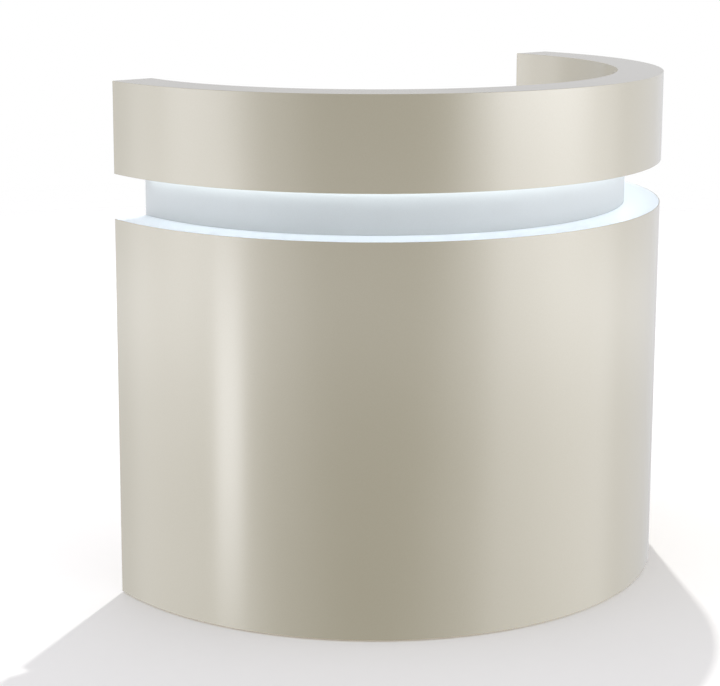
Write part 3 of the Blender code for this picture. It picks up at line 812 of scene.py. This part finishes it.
def pinHoleCutter(x):
    # two upright rows of bored holes, joined into one cutter
    holes = {"first": 0.160, "pitch": 0.032, "count": 11, "reach": 0.008}
    cutters = []
    for y in shelfPin["rows"]:
        for i in range(holes["count"]):
            height = holes["first"] + holes["pitch"] * i
            start, end = (x - holes["reach"], y, height), (x + holes["reach"], y, height)
            cutters.append(addRod("pinHole", shelfPin["radius"], start, end, 16))
    deselectAll()
    for cutter in cutters:
        cutter.select_set(True)
    bpy.context.view_layer.objects.active = cutters[0]
    bpy.ops.object.join()
    return cutters[0]


def makeBoards():
    # straight boards and small cases: copies with an arris on each edge
    boards = {
        "pedestal_left_side": 0.0006,
        "pedestal_right_side": 0.0006,
        "pedestal_back": 0.0004,
        "pedestal_bottom": 0.0006,
        "pedestal_shelf": 0.0006,
        "pedestal_divider": 0.0006,
        "drawer_front": 0.0010,
        "cupboard_door": 0.0010,
        "drawer_left_side": 0.0012,
        "drawer_right_side": 0.0012,
        "drawer_back": 0.0012,
        "drawer_bottom": 0.0003,
        "lock_strike": 0.0003,
        "driver_case": 0.0012,
        "power_inlet": 0.0004,
        "light_switch": 0.0005,
        "lock_barrel": 0.0002,
    }
    shelfLow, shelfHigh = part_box("pedestal_shelf")
    pinSides = {"pedestal_left_side": shelfLow.x, "pedestal_right_side": shelfHigh.x}
    levelBoards = ("pedestal_bottom", "pedestal_shelf", "pedestal_divider")
    for nodeName, arris in boards.items():
        board = copyOf(nodeName)
        bevelEdges(board, arris)
        if nodeName in pinSides:
            booleanCut(board, pinHoleCutter(pinSides[nodeName]))
        dress(board, nodeName)
        if nodeName in levelBoards:
            board.data.materials[0] = levelLaminate
    print("boards made:", len(boards))


def makeHandles():
    for nodeName in ("drawer_handle", "door_handle"):
        handle = copyOf(nodeName)
        bevelEdges(handle, width=0.0022, segments=4)
        dress(handle, nodeName)
    print("handles made")


def makeScrewHead(name, radius, height):
    # a low round head with a cross recess, looking up from the origin
    shares = {"crown": 0.45, "arm": 0.62, "slot": 0.17, "recessFrom": 0.55}
    head = addRod(name, radius, (0, 0, 0), (0, 0, height), 28)
    bevelEdges(head, width=height * shares["crown"], segments=3)
    arm, slot = radius * shares["arm"], radius * shares["slot"]
    recess = height * shares["recessFrom"]
    booleanCut(
        head,
        addBox("crossA", (-arm, -slot, recess), (arm, slot, height * 2)),
        addBox("crossB", (-slot, -arm, recess), (slot, arm, height * 2)),
    )
    return head


def putScrews(prefix, spots, facing, body, screw):
    # one screw head at each spot, its top turned to the way it faces
    master = makeScrewHead(prefix, screw["radius"], screw["height"])
    turn = Vector(facing).to_track_quat("Z", "Y")
    for i, spot in enumerate(spots):
        head = copyPiece(master, f"{prefix}{i + 1}")
        head.rotation_mode = "QUATERNION"
        head.rotation_quaternion = turn
        head.location = spot
        place(head, body, "steel")
    bpy.data.objects.remove(master, do_unlink=True)


def makeHingeScrews():
    screw = {"radius": 0.0030, "height": 0.0009, "heights": (0.150, 0.240, 0.330, 0.420, 0.510)}
    leaf = {"thickness": 0.0012, "fixedInset": 0.0065, "movingInset": 0.0055}
    face = pedestalHigh.x + gap + leaf["thickness"]
    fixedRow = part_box("hinge_fixed_leaf")[0].y + leaf["fixedInset"]
    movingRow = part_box("hinge_moving_leaf")[1].y - leaf["movingInset"]
    for body, y in (("counter", fixedRow), ("door", movingRow)):
        spots = [(face, y, height) for height in screw["heights"]]
        putScrews(f"{body}HingeScrew", spots, (1, 0, 0), body, screw)
    print("hinge screws made")


def makeShelfPins():
    # the shelf rests on four pins in the bored holes
    shelfLow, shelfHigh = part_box("pedestal_shelf")
    height = shelfLow.z - shelfPin["radius"] - gap
    for side, x, way in (("Left", shelfLow.x, 1), ("Right", shelfHigh.x, -1)):
        for i, y in enumerate(shelfPin["rows"]):
            start, end = (x + way * hairline, y, height), (x + way * shelfPin["length"], y, height)
            peg = addRod(f"shelfPin{side}{i + 1}", shelfPin["radius"], start, end, 24)
            bevelEdges(peg, width=0.0006, segments=3)
            place(peg, "counter", "steel")
    print("shelf pins made")


def makeDriverScrews():
    # four from below, clear of the end where the inlet is
    screw = {"radius": 0.0026, "height": 0.0008, "inset": 0.007, "clearOfInlet": 0.024}
    caseLow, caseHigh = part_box("driver_case")
    inset = screw["inset"]
    spots = [
        (x, y, caseLow.z)
        for x in (caseLow.x + inset, caseHigh.x - inset - screw["clearOfInlet"])
        for y in (caseLow.y + inset, caseHigh.y - inset)
    ]
    putScrews("driverScrew", spots, (0, 0, -1), "counter", screw)


def makeInletBlades():
    # three blades stand in the inlet's mouth, the middle one higher
    blade = {
        "thick": 0.0020,
        "wide": 0.0040,
        "long": 0.0085,
        "spread": 0.0060,
        "lift": 0.0022,
        "mouthFloor": 0.0030,
    }
    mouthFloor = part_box("power_inlet")[0].x + blade["mouthFloor"]
    middle = boxMiddle("power_inlet")
    size = Vector((blade["long"], blade["thick"], blade["wide"]))
    for i in range(3):
        y = middle.y + (i - 1) * blade["spread"]
        z = middle.z + (blade["lift"] if i == 1 else -blade["lift"])
        corner = Vector((mouthFloor, y - blade["thick"] / 2, z - blade["wide"] / 2))
        pin = addBox(f"inletBlade{i + 1}", corner, corner + size)
        bevelEdges(pin, width=0.0005, segments=3)
        place(pin, "counter", "steel")


def makeSwitchBezel():
    # a raised frame round the rocker
    bezel = {"reachX": 0.0132, "reachZ": 0.0108, "border": 0.0018, "proud": 0.0009, "drop": 0.0002}
    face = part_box("driver_case")[1].y
    x = boxMiddle("light_switch").x
    z = boxMiddle("driver_case").z - bezel["drop"]
    reachX, reachZ = bezel["reachX"], bezel["reachZ"]
    openX, openZ = reachX - bezel["border"], reachZ - bezel["border"]
    border = addBox(
        "switchBezel",
        (x - reachX, face + hairline, z - reachZ),
        (x + reachX, face + bezel["proud"], z + reachZ),
    )
    bevelEdges(border, width=0.0004)
    opening = addBox(
        "bezelHole", (x - openX, face - 0.01, z - openZ), (x + openX, face + 0.01, z + openZ)
    )
    booleanCut(border, opening)
    place(border, "counter", "black_plastic")
    print("driver box details made")


def makeGrommet():
    # turned smoothly: the flange, the bore and the small seat that carries the cap
    grommet = {
        "wall": 0.0294,
        "bore": 0.0267,
        "flangeHeight": 0.0020,
        "seatDown": 0.005,
        "seatDepth": 0.0025,
        "seatThickness": 0.0015,
        "shortOfUnderside": 0.002,
        "capClearance": 0.0005,
    }
    middle = boxMiddle("grommet_sleeve")
    topLow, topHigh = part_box("worktop")
    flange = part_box("grommet_sleeve")[1].x - middle.x
    under = topHigh.z + gap
    over = under + grommet["flangeHeight"]
    sleeveEnd = topLow.z + grommet["shortOfUnderside"]
    seatTop = topHigh.z - grommet["seatDown"]
    seatUnder = seatTop - grommet["seatThickness"]
    wall, bore = grommet["wall"], grommet["bore"]
    lip = bore - grommet["seatDepth"]
    section = [
        (wall, under),
        (flange, under),
        (flange - 0.0004, under + 0.0010),
        (flange - 0.0012, over),
        (bore, over),
        (bore, seatTop),
        (lip, seatTop),
        (lip, seatUnder),
        (bore, seatUnder),
        (bore, sleeveEnd),
        (wall, sleeveEnd),
    ]
    sleeve = turnedPiece("grommetSleeve", section, middle, 96)
    bevelEdges(sleeve, width=0.0003)
    dress(sleeve, "grommet_sleeve")

    # the slot for the cables is open at the cap's rim
    slot = {"halfWidth": 0.007, "from": 0.010, "to": 0.040}
    capLow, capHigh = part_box("grommet_cap")
    start, end = (middle.x, middle.y, capLow.z), (middle.x, middle.y, capHigh.z)
    disc = addRod("grommetCap", bore - grommet["capClearance"], start, end, 96)
    slotLow = (middle.x - slot["halfWidth"], middle.y - slot["to"], capLow.z - 0.01)
    slotHigh = (middle.x + slot["halfWidth"], middle.y - slot["from"], capHigh.z + 0.01)
    booleanCut(disc, addBox("capSlot", slotLow, slotHigh))
    bevelEdges(disc, width=0.0005, segments=3)
    dress(disc, "grommet_cap")
    print("grommet made")


def makeFeet():
    # a low disc with a sloping top and a round stem, turned about its own axis
    foot = {"rim": 0.0045, "shoulder": 0.0085, "crown": 0.0075, "stem": 0.0040}
    for i in range(1, 5):
        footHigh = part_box(f"foot_{i}")[1]
        middle = boxMiddle(f"foot_{i}")
        radius = footHigh.x - middle.x
        section = [
            (0.0, 0.0),
            (radius - 0.001, 0.0),
            (radius, 0.0012),
            (radius, foot["rim"]),
            (radius - 0.0008, foot["rim"] + 0.0008),
            (foot["shoulder"], foot["crown"] - 0.0002),
            (foot["stem"], foot["crown"]),
            (foot["stem"], footHigh.z),
            (0.0, footHigh.z),
        ]
        piece = turnedPiece(f"levellingFoot{i}", section, middle, 72)
        bevelEdges(piece, width=0.0003)
        dress(piece, f"foot_{i}")
    print("feet made")


def makeCleatScrews():
    # up through the cleat into the worktop
    screw = {"radius": 0.0042, "height": 0.0012, "angles": (35, 65, 115, 145), "fromWall": 0.0093}
    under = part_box("worktop_cleat")[0].z
    spots = [polar(innerRadius - screw["fromWall"], angle, under) for angle in screw["angles"]]
    putScrews("cleatScrew", spots, (0, 0, -1), "counter", screw)


def makeBrackets():
    # two angle brackets hold the worktop on the pedestal
    bracket = {"leg": 0.030, "thick": 0.0020, "wide": 0.030, "rows": (0.050, 0.200), "screwAt": 0.62}
    screw = {"radius": 0.0036, "height": 0.0010}
    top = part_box("worktop")[0].z
    x, leg, thick = pedestalLow.x - hairline, bracket["leg"], bracket["thick"]
    armUnder = top - thick - hairline
    for i, y in enumerate(bracket["rows"]):
        near, far = y - bracket["wide"] / 2, y + bracket["wide"] / 2
        plate = addBox(f"worktopBracket{i + 1}", (x - leg, near, armUnder), (x, far, top - hairline))
        editAll(plate)
        bpy.ops.mesh.select_mode(type="FACE")
        bpy.ops.mesh.bisect(plane_co=(x - thick, y, 0), plane_no=(1, 0, 0), use_fill=False)
        leaveEdit()
        for face in plate.data.polygons:
            face.select = face.normal.z < -0.9 and face.center.x > x - thick
        bpy.ops.object.mode_set(mode="EDIT")
        bpy.ops.mesh.extrude_region_move(TRANSFORM_OT_translate={"value": (0, 0, thick - leg)})
        leaveEdit()
        bevelEdges(plate, width=0.0005)
        place(plate, "counter", "steel")
        armSpot = (x - leg * bracket["screwAt"], y, armUnder)
        legSpot = (x - thick, y, top - leg * bracket["screwAt"])
        putScrews(f"bracket{i + 1}ArmScrew", [armSpot], (0, 0, -1), "counter", screw)
        putScrews(f"bracket{i + 1}LegScrew", [legSpot], (-1, 0, 0), "counter", screw)
    print("worktop fixings made")


makeLowerWall()
makeRecess()
makeRing()
makeSoffit()
makeLight()
makeWorktop()
makeBoards()
makeHandles()
makeHingeScrews()
makeShelfPins()
makeDriverScrews()
makeInletBlades()
makeSwitchBezel()
makeGrommet()
makeFeet()
makeCleatScrews()
makeBrackets()


def sideways(around):
    # a level direction, turned from the camera's side of the object towards the camera's right
    angle = math.radians(around - cameraSide)
    return Vector((math.sin(angle), -math.cos(angle), 0))


def rampOf(nodes, links, source, zeroAt, fullAt):
    ramp = nodes.new("ShaderNodeMapRange")
    ramp.interpolation_type = "SMOOTHSTEP"
    ramp.inputs["From Min"].default_value = zeroAt
    ramp.inputs["From Max"].default_value = fullAt
    links.new(source, ramp.inputs["Value"])
    return ramp.outputs["Result"]


def product(nodes, links, first, second):
    node = nodes.new("ShaderNodeMath")
    node.operation = "MULTIPLY"
    links.new(first, node.inputs[0])
    links.new(second, node.inputs[1])
    return node.outputs["Value"]


def makeFloor():
    extent = {"size": 16, "fadesFrom": 3.5, "goneAt": 6.5}
    paint = {
        "dark": srgb(244, 242, 239),
        "light": srgb(246, 244, 241),
        "broadScale": 0.6,
        "fineScale": 30.0,
        "fineShare": 0.2,
        "roughness": (0.6, 0.65),
        "bump": 0.0,
        "specular": 0.0,
    }
    deselectAll()
    bpy.ops.mesh.primitive_plane_add(size=extent["size"], location=(0, 0, 0))
    floor = bpy.context.object
    floor.name = "studioFloor"
    finish = newFinish("palePaint", mottle, paint)
    # only the camera sees the floor, so it throws no light back on the counter; it fades out far away
    nodes, links = finish.node_tree.nodes, finish.node_tree.links
    where = nodes.new("ShaderNodeTexCoord")
    away = nodes.new("ShaderNodeVectorMath")
    away.operation = "LENGTH"
    links.new(where.outputs["Object"], away.inputs[0])
    fade = rampOf(nodes, links, away.outputs["Value"], extent["goneAt"], extent["fadesFrom"])
    sight = nodes.new("ShaderNodeLightPath")
    clear = nodes.new("ShaderNodeBsdfTransparent")
    choose = nodes.new("ShaderNodeMixShader")
    links.new(product(nodes, links, sight.outputs["Is Camera Ray"], fade), choose.inputs["Fac"])
    links.new(clear.outputs["BSDF"], choose.inputs[1])
    links.new(nodes["Principled BSDF"].outputs["BSDF"], choose.inputs[2])
    links.new(choose.outputs["Shader"], nodes["Material Output"].inputs["Surface"])
    floor.data.materials.append(finish)


def makeCamera():
    view = {"location": (-2.896, -2.991, 1.462), "down": 10.61, "lens": 97.04, "shift": (0.0532, -0.10)}
    data = bpy.data.cameras.new("mainCamera")
    data.sensor_width = 36
    data.lens = view["lens"]
    data.shift_x, data.shift_y = view["shift"]
    data.clip_end = 200
    camera = bpy.data.objects.new("mainCamera", data)
    camera.location = view["location"]
    camera.rotation_euler = (math.radians(90 - view["down"]), 0, -math.radians(cameraSide))
    scene.collection.objects.link(camera)
    scene.camera = camera


def makeLamp():
    # a small high lamp behind the counter throws its shadow forwards over the floor
    spot = {"around": 174.5, "distance": 2.53, "height": 6.0, "aim": 0.4, "size": 0.09, "energy": 150}
    data = bpy.data.lights.new("backLamp", "AREA")
    data.size = spot["size"]
    data.energy = spot["energy"]
    lamp = bpy.data.objects.new("backLamp", data)
    lamp.location = sideways(spot["around"]) * spot["distance"] + Vector((0, 0, spot["height"]))
    aim = Vector((0, 0, spot["aim"])) - lamp.location
    lamp.rotation_euler = aim.to_track_quat("-Z", "Y").to_euler()
    lamp.visible_camera = False
    lamp.visible_glossy = False
    scene.collection.objects.link(lamp)


def makeRoomWalls(nodes, links, direction, height):
    # each stop is (turn, brightness), 0 straight behind the object, 0.5 to its sides and 1 on the
    # camera's side, where the room is dark; heights run from -1, straight down, to 1, straight up
    walls = {
        "stops": [
            (0.0, 0.36),
            (0.05, 0.46),
            (0.28, 0.60),
            (0.43, 0.94),
            (0.60, 0.96),
            (0.79, 0.86),
            (0.90, 0.50),
            (0.98, 0.27),
        ],
        "brightest": 1.87,
        "lowestShare": 0.76,
        "lowestAt": -0.38,
        "fullFrom": -0.16,
    }
    facing = nodes.new("ShaderNodeVectorMath")
    facing.operation = "DOT_PRODUCT"
    facing.inputs[1].default_value = sideways(0)
    links.new(direction, facing.inputs[0])
    turn = nodes.new("ShaderNodeMapRange")
    turn.inputs["From Min"].default_value = -1
    links.new(facing.outputs["Value"], turn.inputs["Value"])
    tones = nodes.new("ShaderNodeValToRGB")
    tones.color_ramp.interpolation = "EASE"
    stops = tones.color_ramp.elements
    while len(stops) < len(walls["stops"]):
        stops.new(0.5)
    for stop, (position, level) in zip(stops, walls["stops"]):
        stop.position = position
        stop.color = (level, level, level, 1)
    links.new(turn.outputs["Result"], tones.inputs["Fac"])
    fade = nodes.new("ShaderNodeMapRange")
    fade.inputs["From Min"].default_value = walls["lowestAt"]
    fade.inputs["From Max"].default_value = walls["fullFrom"]
    fade.inputs["To Min"].default_value = walls["lowestShare"] * walls["brightest"]
    fade.inputs["To Max"].default_value = walls["brightest"]
    links.new(height, fade.inputs["Value"])
    return product(nodes, links, tones.outputs["Color"], fade.outputs["Result"])


def addGlow(nodes, links, heading, height, glow, sides):
    # a soft patch of light on the walls, full within "core" degrees of its turn and gone at "edge";
    # it rises and falls between heights
    towards = nodes.new("ShaderNodeVectorMath")
    towards.operation = "DOT_PRODUCT"
    towards.inputs[1].default_value = sideways(glow["turn"])
    links.new(heading, towards.inputs[0])
    edge, core = math.cos(math.radians(glow["edge"])), math.cos(math.radians(glow["core"]))
    spread = rampOf(nodes, links, towards.outputs["Value"], edge, core)
    rise = rampOf(nodes, links, height, *glow["rise"])
    fall = rampOf(nodes, links, height, *glow["fall"])
    added = nodes.new("ShaderNodeMath")
    added.operation = "MULTIPLY_ADD"
    added.inputs[1].default_value = glow["power"]
    links.new(product(nodes, links, product(nodes, links, spread, rise), fall), added.inputs[0])
    links.new(sides, added.inputs[2])
    return added.outputs["Value"]


def makeRoom():
    room = {"tint": (0.98, 0.99, 1.045, 1), "ceiling": 0.75, "ceilingFrom": 0.30, "ceilingAll": 0.90}
    glows = [
        {"turn": 63, "core": 4, "edge": 36, "rise": (-0.24, 0.0), "fall": (0.36, 0.08), "power": 1.9},
        {"turn": -70, "core": 4, "edge": 20, "rise": (-0.30, -0.06), "fall": (0.36, 0.08), "power": 0.65},
        {"turn": -57, "core": 1, "edge": 8, "rise": (-0.38, -0.28), "fall": (-0.15, -0.25), "power": 2.3},
        {"turn": 0, "core": 100, "edge": 180, "rise": (-0.25, -0.20), "fall": (-0.15, -0.20), "power": 0.9},
    ]
    world = bpy.data.worlds.new("studioRoom")
    scene.world = world
    world.use_nodes = True
    nodes, links = world.node_tree.nodes, world.node_tree.links
    nodes.clear()
    direction = nodes.new("ShaderNodeTexCoord").outputs["Generated"]
    split = nodes.new("ShaderNodeSeparateXYZ")
    links.new(direction, split.inputs["Vector"])
    height = split.outputs["Z"]
    levelled = nodes.new("ShaderNodeVectorMath")
    levelled.operation = "MULTIPLY"
    levelled.inputs[1].default_value = (1, 1, 0)
    links.new(direction, levelled.inputs[0])
    heading = nodes.new("ShaderNodeVectorMath")
    heading.operation = "NORMALIZE"
    links.new(levelled.outputs["Vector"], heading.inputs[0])
    sides = makeRoomWalls(nodes, links, direction, height)
    for glow in glows:
        sides = addGlow(nodes, links, heading.outputs["Vector"], height, glow, sides)
    total = nodes.new("ShaderNodeMix")
    links.new(rampOf(nodes, links, height, room["ceilingFrom"], room["ceilingAll"]), total.inputs["Factor"])
    links.new(sides, total.inputs["A"])
    total.inputs["B"].default_value = room["ceiling"]
    lighting = nodes.new("ShaderNodeBackground")
    lighting.inputs["Color"].default_value = room["tint"]
    links.new(total.outputs["Result"], lighting.inputs["Strength"])

    # the camera sees plain white behind the object
    backdrop = nodes.new("ShaderNodeBackground")
    backdrop.inputs["Color"].default_value = (1, 1, 1, 1)
    sight = nodes.new("ShaderNodeLightPath")
    choose = nodes.new("ShaderNodeMixShader")
    links.new(sight.outputs["Is Camera Ray"], choose.inputs["Fac"])
    links.new(lighting.outputs["Background"], choose.inputs[1])
    links.new(backdrop.outputs["Background"], choose.inputs[2])
    leave = nodes.new("ShaderNodeOutputWorld")
    links.new(choose.outputs["Shader"], leave.inputs["Surface"])


makeFloor()
makeCamera()
makeLamp()
makeRoom()
print("studio made")

deselectAll()
